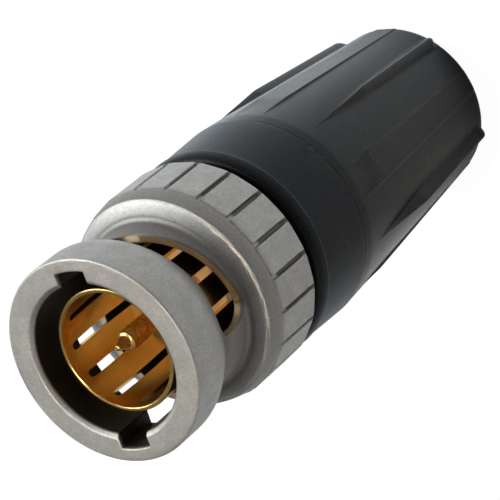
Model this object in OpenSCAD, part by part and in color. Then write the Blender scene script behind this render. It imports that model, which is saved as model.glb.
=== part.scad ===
// Bayonet-lock coaxial cable plug whose rear boot turns the lock.
// It stands on the boot's flat end: +Z is the mating axis and z = 0 is that end.
// Depths are measured back from the mating face; angles are right-handed about +Z.

/* [Overall] */
// Length of the ribbed boot behind the collar
boot_len = 18.85; // [16:0.05:24]
// Length of the collar's smooth band
collar_len = 5.4; // [4.5:0.05:8]
// Width of the black gap between collar and nut
gap_w = 0.95; // [0.3:0.05:1.2]
// Length of the coupling nut
nut_len = 12.4; // [12:0.05:15]

/* [Coupling nut] */
// Diameter of the front ring
ring_d = 13.26; // [12.6:0.02:14]
// Length of the front ring's straight part
ring_len = 2.1; // [1:0.05:2.6]
// Smallest diameter of the neck
neck_d = 10.96; // [10.9:0.02:12.4]
// Depth of the neck's smallest diameter
neck_depth = 5.4; // [4.6:0.05:5.8]
// Diameter over the flange's front edge
flange_d = 13.74; // [13:0.02:14]
// Depth of the flange's front edge
flange_depth = 7.62; // [7:0.05:8]
// Diameter over the grip
grip_d = 14.38; // [14:0.02:15.6]
// Diameter across the grip's opposite flats
grip_flats_d = 14.24; // [13.9:0.02:15.5]
// Number of flats and grooves round the grip
grip_count = 20; // [12:1:24]
// Width of a grip groove
groove_w = 0.32; // [0.2:0.02:0.5]
// Depth of a grip groove
groove_cut = 0.24; // [0.1:0.02:0.3]
// Angle of the first groove
groove_angle = 3.5; // [0:0.5:18]
// Diameter of the coupling bore
bore_d = 9.84; // [9.7:0.02:10]
// Width and depth of the bevel at the bore's mouth
bore_bevel = 0.24; // [0.1:0.02:0.4]

/* [Bayonet] */
// Width of a keyway
key_w = 2.15; // [2.1:0.05:2.4]
// Diameter over the two keyways
key_d = 11.6; // [11.2:0.05:11.7]
// Width of the cam slot along its ramp
slot_w = 2.4; // [2.1:0.05:2.5]
// Turn from the keyway to the lock pocket
lock_turn = 88; // [80:1:95]
// Depth of the slot's rear edge where the ramp starts
ramp_start = 5.65; // [5.4:0.05:5.8]
// Depth of the slot's rear edge where the ramp ends
ramp_end = 7.25; // [6.9:0.05:7.3]
// Radius of the lock pocket
pocket_r = 1.5; // [1.2:0.05:1.6]

/* [Contacts] */
// Outer diameter of the contact sleeve at its rim
sleeve_d = 8.1; // [7.9:0.02:8.24]
// Wall of the contact sleeve
sleeve_wall = 0.3; // [0.2:0.02:0.4]
// Outward bow of the sleeve's ribs
sleeve_bow = 0.12; // [0:0.02:0.2]
// Depth of the sleeve's rim behind the mating face
sleeve_recess = 1.35; // [1:0.05:1.8]
// Number of slots round the sleeve
slot_count = 12; // [6:1:14]
// Width of a sleeve slot
sleeve_slot_w = 0.54; // [0.3:0.02:0.7]
// Diameter of the centre pin
pin_d = 1.35; // [1.3:0.01:1.4]
// Depth of the pin's tip behind the mating face
pin_recess = 1.6; // [1.4:0.05:2]
// Diameter of the pin's crimp barrel
pin_barrel_d = 2.1; // [1.8:0.05:2.4]

/* [Body and cable end] */
// Depth of the seat that the sleeve and gasket stand on
seat_depth = 10.4; // [10.2:0.05:10.8]
// Diameter of the body's flange
body_flange_d = 11.2; // [10.6:0.05:11.4]
// Thickness of the body's flange
body_flange_t = 0.8; // [0.6:0.05:1]
// Diameter of the body's barrel
barrel_d = 8.2; // [8:0.05:8.6]
// Length of the body's barrel behind its flange
barrel_len = 5.8; // [5.4:0.1:6.4]
// Outer diameter of the crimp stem
stem_d = 5.1; // [4.8:0.05:5.6]
// Bore of the crimp stem
stem_bore = 3.9; // [3.5:0.05:4.2]
// Length of the crimp stem
stem_len = 7.5; // [6:0.1:8]
// Outer diameter of the crimp ferrule
ferrule_d = 7; // [6.8:0.05:7.4]
// Wall of the crimp ferrule
ferrule_wall = 0.4; // [0.3:0.05:0.5]
// Length of the crimp ferrule
ferrule_len = 8.5; // [7:0.1:9]
// Height of the wave spring
spring_h = 1.25; // [1:0.05:1.5]
// Thickness of the thrust washer
washer_t = 0.3; // [0.2:0.05:0.4]
// Thickness of the backing washer
backing_t = 0.45; // [0.3:0.05:0.6]

/* [Collar and boot] */
// Diameter of the collar band at its front
collar_front_d = 13.96; // [13.6:0.02:15.2]
// Diameter of the collar band at its rear
collar_rear_d = 14.24; // [14:0.02:15.4]
// Diameter of the collar's front spigot
spigot_d = 12.6; // [12.4:0.05:12.9]
// Diameter of the boot at its front
boot_front_d = 14.1; // [13.9:0.05:15.2]
// Diameter of the boot at its rear
boot_rear_d = 11.4; // [11:0.05:13]
// Diameter over the ribs at the rear
rib_rear_d = 12.7; // [12:0.05:13.4]
// Diameter over the ribs at their highest point
rib_knee_d = 14.36; // [14:0.02:14.6]
// Number of ribs round the boot
rib_count = 5; // [3:1:6]
// Half width of a rib at its rear end
rib_w = 0.8; // [0.5:0.02:0.9]
// Angle between two pads, halfway from rib to rib
pad_angle = 12.5; // [0:0.5:60]
// Width of a pad at its front end
pad_front_w = 2.25; // [1.6:0.05:2.6]
// Width of a pad at its rear end
pad_rear_w = 1.5; // [1.2:0.05:2.2]
// Height of a flat pad's middle over the boot's cone
pad_h = 0.06; // [0.02:0.02:0.12]
// Diameter of the cable hole
cable_d = 6.6; // [6:0.1:7.4]
// Length of the cable hole
cable_len = 3.6; // [3:0.1:5]

/* [Hidden] */
$fn = 96;

e = 0.01;
run_gap = 0.05;
slip_gap = 0.15;
fit_gap = 0.02;
end_gap = 0.1;

// heights of the joints between the outer pieces
z_collar = boot_len;
z_collar_front = z_collar + collar_len;
z_nut = z_collar_front + gap_w;
z_face = z_nut + nut_len;

// the spring chamber, shared by the nut and the collar's front spigot
chamber_d = body_flange_d + 2 * slip_gap;
washer_depth = seat_depth + body_flange_t;
spring_depth = washer_depth + washer_t;
backing_depth = spring_depth + spring_h;
chamber_depth = backing_depth + backing_t;
spigot_len = 0.9;
spigot_depth = nut_len - spigot_len;
collar_front_depth = nut_len + gap_w;
collar_depth = z_face - z_collar;

// the body behind the seat
nose_len = 1.4;
insulator_d = 6;
insulator_len = 3.2;
rear_insulator_d = 4.4;
rear_insulator_len = 3;
barrel_depth = washer_depth + barrel_len;
guide_len = 2.8;
travel = 0.8;

// the hollow behind the guide
tail_d = 9.8;
tail_len = 5.4;
tail_spigot_d = 12;
snap_h = 0.15;
snap_len = 0.8;
snap_back = 2;
cavity_d = 9.2;
cavity_depth = collar_depth + tail_len + end_gap;
funnel_len = 0.9;
boot_round = 0.6;

// a solid of revolution from [radius, depth] points
module lathe(points) {
    rotate_extrude() polygon([for (p = points) [p[0], z_face - p[1]]]);
}

// a plain ring between two depths
module ring(outer_d, inner_d, depth, len) {
    translate([0, 0, z_face - depth - len]) difference() {
        cylinder(d = outer_d, h = len);
        translate([0, 0, -1]) cylinder(d = inner_d, h = len + 2);
    }
}

// a bar with rounded ends: it stands on the floor and runs out along +X
module round_slot(width, height, cut) {
    r = width / 2;
    translate([0, 0, height / 2]) rotate([0, 90, 0]) linear_extrude(cut)
        polygon([for (side = [1, -1], a = [-90:15:90])
            side * [height / 2 - r + r * cos(a), r * sin(a)]]);
}

function mix(a, b, t) = a + (b - a) * t;
function steps(n) = [for (i = [0:n]) i / n];

// ---- coupling nut ----
nose_step = 0.05;
nose_depth = flange_depth + 0.95;
nose_d = mix(flange_d, grip_d, 0.6);
bevel_len = 0.16;
root_r = neck_d / 2 + 0.14;
root_depth = flange_depth - 0.75;
face_r = root_r + 0.4;
face_depth = flange_depth - 0.42;
edge = 0.12;

function shoulder_r(t) = mix(neck_d, ring_d, (1 + cos(180 * t)) / 2) / 2;
function root_point(t) = [
    mix(root_r, face_r, 1 - cos(90 * t)), mix(root_depth, face_depth, sin(90 * t))
];
function nose_r(t) = mix(flange_d, nose_d, sin(90 * t)) / 2;

nut_outline = concat(
    [[ring_d / 2 - edge, 0], [ring_d / 2, edge]],
    [for (t = steps(10)) [shoulder_r(t), mix(ring_len, neck_depth, t)]],
    [[neck_d / 2 + 0.05, mix(neck_depth, root_depth, 0.55)]],
    [for (t = steps(5)) root_point(t)],
    [[flange_d / 2, flange_depth]],
    [for (t = steps(4)) [nose_r(t), mix(flange_depth + nose_step, nose_depth, t)]],
    [[grip_d / 2, nose_depth + bevel_len]],
    [[grip_d / 2, nut_len - edge], [grip_d / 2 - edge, nut_len]],
    [[spigot_d / 2, nut_len], [spigot_d / 2, spigot_depth - end_gap]],
    [[chamber_d / 2, spigot_depth - end_gap], [chamber_d / 2, seat_depth]],
    [[bore_d / 2, seat_depth], [bore_d / 2, bore_bevel], [bore_d / 2 + bore_bevel, 0]]
);

// cam slot: stations of [angle from the keyway, centre depth, half width]
start_r = 1.2;
start_turn = 11;
ramp_share = 0.66;
neck_mid_r = (neck_d + bore_d) / 4;
cap_steps = 7;
ramp_steps = 22;

function arc_angle(len) = len / neck_mid_r * 180 / PI;
function ease(t) = (1 - cos(180 * min(1, max(0, t)))) / 2;
function slot_rear(t) = mix(ramp_start, ramp_end, t);
function slot_width(t) = slot_w + (2 * start_r - slot_w) * ease(1 - t / 0.25)
    + (2 * pocket_r - slot_w) * ease((t - ramp_share) / (1 - ramp_share));
function ramp_station(t) = [
    mix(start_turn, lock_turn, t),
    slot_rear(t) - slot_width(t) / 2,
    slot_width(t) / 2
];
function cap_station(t, radius, a, way) = [
    ramp_station(t)[0] + way * arc_angle(radius * sin(a)),
    ramp_station(t)[1],
    max(0.04, radius * cos(a))
];
slot_stations = concat(
    [for (i = [cap_steps:-1:1]) cap_station(0, start_r, 90 * i / cap_steps, -1)],
    [for (t = steps(ramp_steps)) ramp_station(t)],
    [for (i = [1:cap_steps]) cap_station(1, pocket_r, 90 * i / cap_steps, 1)]
);

function slot_corner(s, r, side) = [
    r * cos(90 - s[0]), r * sin(90 - s[0]), z_face - s[1] + side * s[2]
];

module cam_slot() {
    inner_r = bore_d / 2 - 0.6;
    outer_r = ring_d / 2 + 1;
    n = len(slot_stations);
    points = [for (s = slot_stations) each [
        slot_corner(s, inner_r, 1), slot_corner(s, outer_r, 1),
        slot_corner(s, outer_r, -1), slot_corner(s, inner_r, -1)
    ]];
    sides = [for (i = [0:n - 2], k = [0:3]) each [
        [4 * i + k, 4 * i + (k + 1) % 4, 4 * i + 4 + k],
        [4 * i + (k + 1) % 4, 4 * i + 4 + (k + 1) % 4, 4 * i + 4 + k]
    ]];
    ends = [[3, 2, 1], [3, 1, 0], [4 * n - 4, 4 * n - 3, 4 * n - 2], [4 * n - 4, 4 * n - 2, 4 * n - 1]];
    polyhedron(points, concat(sides, ends));
}

module keyway() {
    intersection() {
        translate([-key_w / 2, 0, z_face - ramp_start + 0.4]) cube([key_w, key_d, ramp_start]);
        translate([0, 0, z_face - 2 * ramp_start]) cylinder(d = key_d, h = 3 * ramp_start);
    }
}

module grip_flats() {
    corner = grip_flats_d / 2 / cos(180 / grip_count);
    translate([0, 0, z_nut - 1]) difference() {
        cylinder(d = grip_d + 2, h = nut_len - flange_depth + 1);
        translate([0, 0, -1]) linear_extrude(nut_len)
            polygon([for (k = [0:grip_count - 1])
                let (a = groove_angle + k * 360 / grip_count) corner * [cos(a), sin(a)]]);
    }
}

module grip_groove() {
    front_depth = nose_depth + 0.05;
    back_depth = nut_len - 0.3;
    translate([grip_flats_d / 2 - groove_cut, 0, z_face - back_depth])
        round_slot(groove_w, back_depth - front_depth, 2);
}

module coupling_nut() {
    color("#9b9a97") difference() {
        lathe(nut_outline);
        grip_flats();
        for (k = [0:grip_count - 1])
            rotate([0, 0, groove_angle + k * 360 / grip_count]) grip_groove();
        for (side = [0, 180]) rotate([0, 0, side]) {
            keyway();
            cam_slot();
        }
    }
}

// ---- contacts ----
slot_front_depth = sleeve_recess + 0.8;
slot_back_depth = seat_depth - nose_len - 0.2;
bow_steps = 12;

function bow(t) = sleeve_bow * sin(180 * t);

module sleeve_slot() {
    translate([0, 0, z_face - slot_back_depth])
        round_slot(sleeve_slot_w, slot_back_depth - slot_front_depth, sleeve_d);
}

module contact_sleeve() {
    outer_r = sleeve_d / 2;
    inner_r = outer_r - sleeve_wall;
    lip = 0.1;
    color("#d9a441") difference() {
        lathe(concat(
            [[inner_r + lip, sleeve_recess], [outer_r - lip, sleeve_recess], [outer_r, sleeve_recess + lip]],
            [for (t = steps(bow_steps))
                [outer_r + bow(t), mix(slot_front_depth, slot_back_depth, t)]],
            [[outer_r, seat_depth], [inner_r, seat_depth]],
            [for (t = steps(bow_steps))
                [inner_r + bow(t), mix(slot_back_depth, slot_front_depth, t)]],
            [[inner_r, sleeve_recess + lip]]
        ));
        for (k = [0:slot_count - 1])
            rotate([0, 0, -2 + k * 360 / slot_count]) sleeve_slot();
    }
}

pin_shoulder_depth = seat_depth - nose_len + 0.2 + insulator_len;
pin_barrel_len = 4;
pin_groove_depth = 9;
pin_groove_len = 0.65;
pin_groove_d = 1;
conductor_d = 1.1;

module centre_pin() {
    pin_r = pin_d / 2;
    tip_r = 0.16;
    nose_r = 0.42;
    sight_depth = pin_shoulder_depth + 1.6;
    end_depth = pin_shoulder_depth + pin_barrel_len;
    color("#d9a441") difference() {
        lathe([
            [0, pin_recess], [tip_r, pin_recess], [tip_r + 0.07, pin_recess + 0.06],
            [nose_r, pin_recess + 0.85], [pin_r - 0.08, pin_recess + 0.95],
            [pin_r, pin_recess + 1.15], [pin_r, pin_groove_depth],
            [pin_groove_d / 2, pin_groove_depth], [pin_groove_d / 2, pin_groove_depth + pin_groove_len],
            [pin_r, pin_groove_depth + pin_groove_len], [pin_r, pin_shoulder_depth],
            [pin_barrel_d / 2, pin_shoulder_depth], [pin_barrel_d / 2, end_depth - 0.15],
            [pin_barrel_d / 2 - 0.15, end_depth], [conductor_d / 2, end_depth],
            [conductor_d / 2, pin_shoulder_depth + 0.6], [0, pin_shoulder_depth + 0.5]
        ]);
        translate([0, 0, z_face - sight_depth]) rotate([0, 90, 0]) cylinder(d = 0.5, h = pin_barrel_d);
    }
}

// ---- insulators, body and seal ----
module front_insulator() {
    front = pin_shoulder_depth - insulator_len;
    color("#efece4") difference() {
        ring(insulator_d, pin_d + 2 * fit_gap, front, insulator_len);
        ring(insulator_d - 1.4, pin_d + 1.4, front - 1, 1.5);
    }
}

module rear_insulator() {
    color("#efece4")
        ring(rear_insulator_d, pin_barrel_d + 2 * fit_gap, pin_shoulder_depth, rear_insulator_len);
}

module contact_body() {
    nose_r = sleeve_d / 2 - sleeve_wall;
    nose_front = seat_depth - nose_len;
    stem_end = barrel_depth + stem_len;
    tooth = 0.12;
    pitch = 0.8;
    teeth = floor((stem_len - 2) / pitch);
    color("#b9b7b2") difference() {
        lathe(concat(
            [[insulator_d / 2, nose_front], [nose_r, nose_front], [nose_r, seat_depth]],
            [[body_flange_d / 2, seat_depth], [body_flange_d / 2, washer_depth]],
            [[barrel_d / 2, washer_depth], [barrel_d / 2, barrel_depth], [stem_d / 2, barrel_depth]],
            [for (k = [0:teeth - 1]) each [
                [stem_d / 2 - tooth, barrel_depth + 0.8 + k * pitch],
                [stem_d / 2, barrel_depth + 0.8 + (k + 0.7) * pitch]
            ]],
            [[stem_d / 2, stem_end - 0.3], [stem_d / 2 - 0.3, stem_end], [stem_bore / 2, stem_end]],
            [[stem_bore / 2, pin_shoulder_depth + rear_insulator_len]],
            [[rear_insulator_d / 2, pin_shoulder_depth + rear_insulator_len]],
            [[rear_insulator_d / 2, pin_shoulder_depth], [insulator_d / 2, pin_shoulder_depth]]
        ));
    }
}

module face_gasket() {
    gasket_t = 0.75;
    color("#222224")
        ring(bore_d - 2 * end_gap, sleeve_d + 2 * run_gap, seat_depth - gasket_t, gasket_t);
}

module crimp_ferrule() {
    color("#c4c2bd") ring(ferrule_d, ferrule_d - 2 * ferrule_wall, barrel_depth, ferrule_len);
}

// ---- spring pack ----
module thrust_washer() {
    color("#8f9194") ring(body_flange_d, barrel_d + 2 * run_gap, washer_depth, washer_t);
}

module backing_washer() {
    color("#8f9194")
        ring(chamber_d - 2 * fit_gap, barrel_d + 4 * run_gap, backing_depth, backing_t);
}

module wave_spring() {
    waves = 3;
    count = 72;
    strip_t = 0.25;
    inner_r = barrel_d / 2 + slip_gap;
    outer_r = chamber_d / 2 - slip_gap;
    swing = spring_h - strip_t - 2 * fit_gap;
    base = z_face - backing_depth + fit_gap;
    points = [for (i = [0:count - 1])
        let (a = 360 * i / count, z = base + swing * (1 + cos(waves * a)) / 2)
        each [
            [inner_r * cos(a), inner_r * sin(a), z],
            [outer_r * cos(a), outer_r * sin(a), z],
            [outer_r * cos(a), outer_r * sin(a), z + strip_t],
            [inner_r * cos(a), inner_r * sin(a), z + strip_t]
        ]];
    faces = [for (i = [0:count - 1], k = [0:3])
        let (m = 4 * ((i + 1) % count), j = (k + 1) % 4)
        each [[4 * i + k, 4 * i + j, m + k], [4 * i + j, m + j, m + k]]];
    color("#a3a5a8") polyhedron(points, faces);
}

// ---- collar and boot ----
module boot_collar() {
    crest_r = collar_front_d / 2 + 0.08;
    crest_depth = collar_front_depth + 0.9;
    round_w = 0.46;
    tail_depth = collar_depth + tail_len;
    snap_depth = tail_depth - snap_back;
    color("#2a2b2e") lathe(concat(
        [[chamber_d / 2, spigot_depth], [spigot_d / 2, spigot_depth]],
        [[spigot_d / 2, collar_front_depth]],
        [for (i = [0:6]) let (a = 90 * i / 6) [
            crest_r - round_w * (1 - sin(a)), mix(crest_depth, collar_front_depth, cos(a))
        ]],
        [[collar_front_d / 2, crest_depth + 0.1]],
        [[collar_rear_d / 2, collar_depth - edge], [collar_rear_d / 2 - edge, collar_depth]],
        [[tail_spigot_d / 2, collar_depth], [tail_spigot_d / 2, snap_depth]],
        [[tail_spigot_d / 2 + snap_h, snap_depth], [tail_spigot_d / 2, snap_depth + snap_len]],
        [[tail_spigot_d / 2, tail_depth], [tail_d / 2, tail_depth]],
        [[tail_d / 2, chamber_depth + guide_len], [barrel_d / 2 + run_gap, chamber_depth + guide_len]],
        [[barrel_d / 2 + run_gap, chamber_depth], [chamber_d / 2, chamber_depth]]
    ));
}

// the boot's cone: its radius at a depth
cone_start = collar_depth + 0.9;
cone_end = z_face - boot_round;

function cone_r(depth) =
    mix(boot_front_d, boot_rear_d, max(0, (depth - cone_start) / (cone_end - cone_start))) / 2;

// a rib's stations of [depth, radius of its crest, half width], from its tip to its rounded end
tip_depth = cone_start + 1.2;
knee_depth = tip_depth + 6;
rib_round = 0.75;
rib_depth = cone_end - rib_round;
rib_stations = concat(
    [for (t = steps(4)) [
        mix(tip_depth, knee_depth, t),
        mix(cone_r(tip_depth) - 0.02, rib_knee_d / 2, t),
        mix(0.05, 0.75 * rib_w, pow(t, 1.5))
    ]],
    [for (t = steps(3)) if (t > 0) [
        mix(knee_depth, rib_depth, t), mix(rib_knee_d, rib_rear_d, t) / 2, rib_w * mix(0.75, 1, sin(90 * t))
    ]],
    [for (i = [1:5]) let (a = 90 * i / 5) [
        rib_depth + rib_round * sin(a),
        mix(cone_r(cone_end) - 0.15, rib_rear_d / 2, cos(a)),
        rib_w * mix(0.6, 1, cos(a))
    ]]
);
rib_section = [
    [-1, 0], [-0.66, 0.46], [-0.36, 0.8], [-0.16, 0.96], [0.16, 0.96], [0.36, 0.8], [0.66, 0.46], [1, 0]
];

module boot_rib() {
    under = 0.35;
    m = len(rib_section);
    n = len(rib_stations);
    points = [for (s = rib_stations, c = rib_section)
        let (floor_r = cone_r(s[0]) - under)
        [mix(floor_r, s[1], c[1]), s[2] * c[0], z_face - s[0]]];
    sides = [for (i = [0:n - 2], k = [0:m - 1]) let (a = m * i, j = (k + 1) % m) each [
        [a + k, a + j, a + m + k], [a + j, a + m + j, a + m + k]
    ]];
    ends = [for (k = [1:m - 2]) each [[0, k + 1, k], [m * n - m, m * n - m + k, m * n - m + k + 1]]];
    polyhedron(points, concat(sides, ends));
}

// one flat plate of a pad, between two depths with a height over the cone at each
module pad_plate(depth1, rise1, width1, depth2, rise2, width2) {
    under = 0.45;
    run = depth2 - depth1;
    drop = cone_r(depth1) + rise1 - cone_r(depth2) - rise2;
    length = sqrt(run * run + drop * drop);
    translate([cone_r(depth1) + rise1, 0, z_face - depth1]) rotate([0, 90 + atan(drop / run), 0])
        translate([0, 0, -under]) linear_extrude(under) polygon([
            [0, -width1 / 2], [length, -width2 / 2], [length, width2 / 2], [0, width1 / 2]
        ]);
}

module boot_pad() {
    front = cone_start + 0.4;
    knee = front + 2.6;
    back = cone_end - 0.1;
    sunk = 0.08;
    knee_w = mix(pad_front_w, pad_rear_w, (knee - front) / (back - front));
    pad_plate(front, -sunk, pad_front_w, knee, pad_h, knee_w);
    pad_plate(knee, pad_h, knee_w, back, 0, pad_rear_w);
}

module boot_shell() {
    lathe(concat(
        [[0, collar_depth], [boot_front_d / 2 - edge, collar_depth], [boot_front_d / 2, collar_depth + edge]],
        [[boot_front_d / 2, cone_start], [boot_rear_d / 2, cone_end]],
        [for (i = [1:6]) let (a = 90 * i / 6) [
            boot_rear_d / 2 - boot_round * (1 - cos(a)), cone_end + boot_round * sin(a)
        ]],
        [[0, z_face]]
    ));
}

module boot_hollow() {
    snap_depth = collar_depth + tail_len - snap_back;
    cable_depth = z_face - cable_len;
    lathe([
        [0, collar_depth - 1], [tail_spigot_d / 2, collar_depth - 1], [tail_spigot_d / 2, snap_depth],
        [tail_spigot_d / 2 + snap_h, snap_depth], [tail_spigot_d / 2, snap_depth + snap_len],
        [tail_spigot_d / 2, cavity_depth], [cavity_d / 2, cavity_depth],
        [cavity_d / 2, cable_depth - funnel_len], [cable_d / 2, cable_depth],
        [cable_d / 2, z_face + 1], [0, z_face + 1]
    ]);
}

module boot() {
    color("#1c1c1e") difference() {
        union() {
            boot_shell();
            for (k = [0:rib_count - 1]) rotate([0, 0, pad_angle + k * 360 / rib_count]) {
                boot_pad();
                rotate([0, 0, 180 / rib_count]) boot_rib();
            }
        }
        boot_hollow();
    }
}

coupling_nut();
contact_sleeve();
centre_pin();
front_insulator();
rear_insulator();
contact_body();
face_gasket();
thrust_washer();
wave_spring();
backing_washer();
crimp_ferrule();
boot_collar();
boot();
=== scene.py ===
"""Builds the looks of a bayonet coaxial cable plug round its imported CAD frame."""

from math import asin, atan, ceil, copysign, cos, hypot, pi, radians, sin, sqrt, tan

import bmesh
import bpy
import numpy as np
from bpy.props import FloatProperty, FloatVectorProperty, IntProperty, PointerProperty
from mathutils import Matrix, Vector


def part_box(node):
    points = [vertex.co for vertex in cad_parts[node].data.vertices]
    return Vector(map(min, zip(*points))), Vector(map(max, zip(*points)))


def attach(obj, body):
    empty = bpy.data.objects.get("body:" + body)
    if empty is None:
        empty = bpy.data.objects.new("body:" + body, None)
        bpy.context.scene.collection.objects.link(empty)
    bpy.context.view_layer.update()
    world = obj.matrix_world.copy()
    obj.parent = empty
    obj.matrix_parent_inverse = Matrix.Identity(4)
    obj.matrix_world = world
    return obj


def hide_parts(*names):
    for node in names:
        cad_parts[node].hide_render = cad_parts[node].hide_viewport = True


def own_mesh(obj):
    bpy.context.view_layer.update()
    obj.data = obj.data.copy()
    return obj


bl_info = {
    "name": "Bayonet cable plug",
    "version": (1, 0, 0),
    "blender": (4, 5, 0),
    "location": "3D View > Sidebar > Plug",
    "description": "Builds a coaxial bayonet plug, piece by piece, round its CAD frame",
    "category": "Object",
}

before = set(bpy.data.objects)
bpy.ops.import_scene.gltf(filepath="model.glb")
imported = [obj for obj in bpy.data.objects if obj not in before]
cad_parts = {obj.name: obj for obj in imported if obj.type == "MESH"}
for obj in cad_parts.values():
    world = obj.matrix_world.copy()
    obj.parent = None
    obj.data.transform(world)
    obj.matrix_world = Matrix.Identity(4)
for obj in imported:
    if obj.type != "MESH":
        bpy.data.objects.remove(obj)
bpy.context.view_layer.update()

MM = 0.001
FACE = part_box("coupling_nut")[1].z
CORE, SHELL, THRUST = "core", "shell", "thrust"

# Depths below the mating face where one piece meets the next.
SEAT, FLANGE_BACK = 10.4 * MM, 11.2 * MM
SPRING_FRONT, SPRING_BACK, PACK_END = 11.5 * MM, 12.75 * MM, 13.2 * MM
NOSE_END, TUBE_END = 12.4 * MM, 15.4 * MM
COLLAR_REAR, CONE_START = 18.75 * MM, 19.65 * MM

# Radii that two pieces share.
NOSE_BORE_R, TUBE_BORE_R = 3.0 * MM, 2.2 * MM
SPIGOT_R, CHAMBER_R = 6.3 * MM, 5.75 * MM
JOINT_R, SNAP_R = 6.0 * MM, 6.15 * MM

PAD_EDGE = radians(8.3)
CREASE = radians(34)


# ---- sizes and colours a user would change ----


def length(label, note, mm):
    """A size in metres, given here in millimetres."""
    return FloatProperty(
        name=label, description=note, default=mm * MM, min=0, unit="LENGTH", precision=5
    )


def tint(label, note, colour):
    return FloatVectorProperty(
        name=label, description=note, default=colour, subtype="COLOR", size=3, min=0, max=1
    )


def amount(label, note, value, low=0.0, high=1.0):
    return FloatProperty(name=label, description=note, default=value, min=low, max=high)


def turn(label, note, degrees):
    return FloatProperty(
        name=label, description=note, default=radians(degrees), subtype="ANGLE", unit="ROTATION"
    )


class NutSizes(bpy.types.PropertyGroup):
    ring_r: length("Ring radius", "Radius of the front ring", 6.63)
    ring_len: length("Ring length", "Straight length of the front ring", 2.1)
    neck_r: length("Neck radius", "Smallest radius of the neck", 5.48)
    neck_depth: length("Neck depth", "Depth of the neck's smallest radius", 5.4)
    flange_r: length("Flange radius", "Radius of the flange's front edge", 6.87)
    flange_depth: length("Flange depth", "Depth of the flange's front edge", 7.62)
    grip_r: length("Grip radius", "Radius over the grip", 7.19)
    nose_r: length("Nose radius", "Radius at the end of the grip's rounded front", 7.062)
    nose_depth: length("Nose depth", "Depth of the end of the grip's rounded front", 8.57)
    flats_r: length("Flats radius", "Distance of a grip flat from the axis", 7.12)
    nut_len: length("Length", "Length of the nut", 12.4)
    bore_r: length("Bore radius", "Radius of the coupling bore", 4.92)
    bore_bevel: length("Bore bevel", "Bevel at the bore's mouth", 0.24)
    seat_depth: length("Seat depth", "Depth of the shoulder behind the bore", 10.4)
    chamber_r: length("Chamber radius", "Radius of the spring chamber", 5.75)
    spigot_r: length("Spigot radius", "Radius of the collar's spigot", 6.3)
    spigot_depth: length("Spigot depth", "Depth of the collar's spigot", 11.5)
    groove_w: length("Groove width", "Width of a grip groove", 0.32)
    groove_cut: length("Groove depth", "Depth of a grip groove", 0.24)
    groove_turn: turn("Groove angle", "Angle of the first groove", 3.5)
    grooves: IntProperty(name="Grooves", description="Grooves round the grip", default=20, min=3)
    key_w: length("Keyway width", "Width of a keyway", 2.15)
    key_r: length("Keyway radius", "Radius over the keyways", 5.8)
    key_depth: length("Keyway length", "Length of a keyway", 5.25)
    slot_w: length("Slot width", "Width of the cam slot on its ramp", 2.4)
    ramp_start: length("Ramp start", "Depth of the slot's rear edge at its start", 5.65)
    ramp_end: length("Ramp end", "Depth of the slot's rear edge at its end", 7.1)
    lock_turn: turn("Lock turn", "Turn from the keyway to the lock pocket", 88)
    start_r: length("Start radius", "Radius of the slot's round start", 1.2)
    pocket_r: length("Pocket radius", "Radius of the lock pocket", 1.5)


class ContactSizes(bpy.types.PropertyGroup):
    sleeve_r: length("Sleeve radius", "Outer radius of the sleeve's rim", 4.05)
    sleeve_wall: length("Sleeve wall", "Wall of the sleeve", 0.3)
    sleeve_bow: length("Sleeve bow", "Outward bow of the sleeve's ribs", 0.12)
    sleeve_recess: length("Sleeve recess", "Depth of the sleeve's rim", 1.35)
    slot_front: length("Slot front", "Depth of the slots' front end", 2.15)
    slot_back: length("Slot back", "Depth of the slots' rear end", 8.8)
    slot_w: length("Slot width", "Width of a slot", 0.54)
    slots: IntProperty(name="Slots", description="Slots round the sleeve", default=12, min=4)
    slot_turn: turn("Slot angle", "Angle of the first slot", -2)
    pin_r: length("Pin radius", "Radius of the centre pin", 0.675)
    pin_recess: length("Pin recess", "Depth of the pin's tip", 1.6)
    barrel_r: length("Barrel radius", "Radius of the pin's crimp barrel", 1.05)
    conductor_r: length("Conductor radius", "Radius of the hole for the conductor", 0.55)


class BodySizes(bpy.types.PropertyGroup):
    nose_front: length("Nose depth", "Depth of the body's nose", 9.0)
    nose_r: length("Nose radius", "Radius of the nose in the sleeve", 3.75)
    flange_r: length("Flange radius", "Radius of the body's flange", 5.6)
    barrel_r: length("Barrel radius", "Radius of the body's barrel", 4.1)
    barrel_depth: length("Barrel depth", "Depth of the barrel's rear end", 17.0)
    stem_r: length("Stem radius", "Outer radius of the crimp stem", 2.55)
    stem_bore: length("Stem bore", "Radius of the stem's bore", 1.95)
    stem_depth: length("Stem depth", "Depth of the stem's rear end", 24.5)
    ferrule_r: length("Ferrule radius", "Outer radius of the crimp ferrule", 3.5)
    ferrule_wall: length("Ferrule wall", "Wall of the crimp ferrule", 0.4)
    ferrule_depth: length("Ferrule depth", "Depth of the ferrule's rear end", 25.5)


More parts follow.
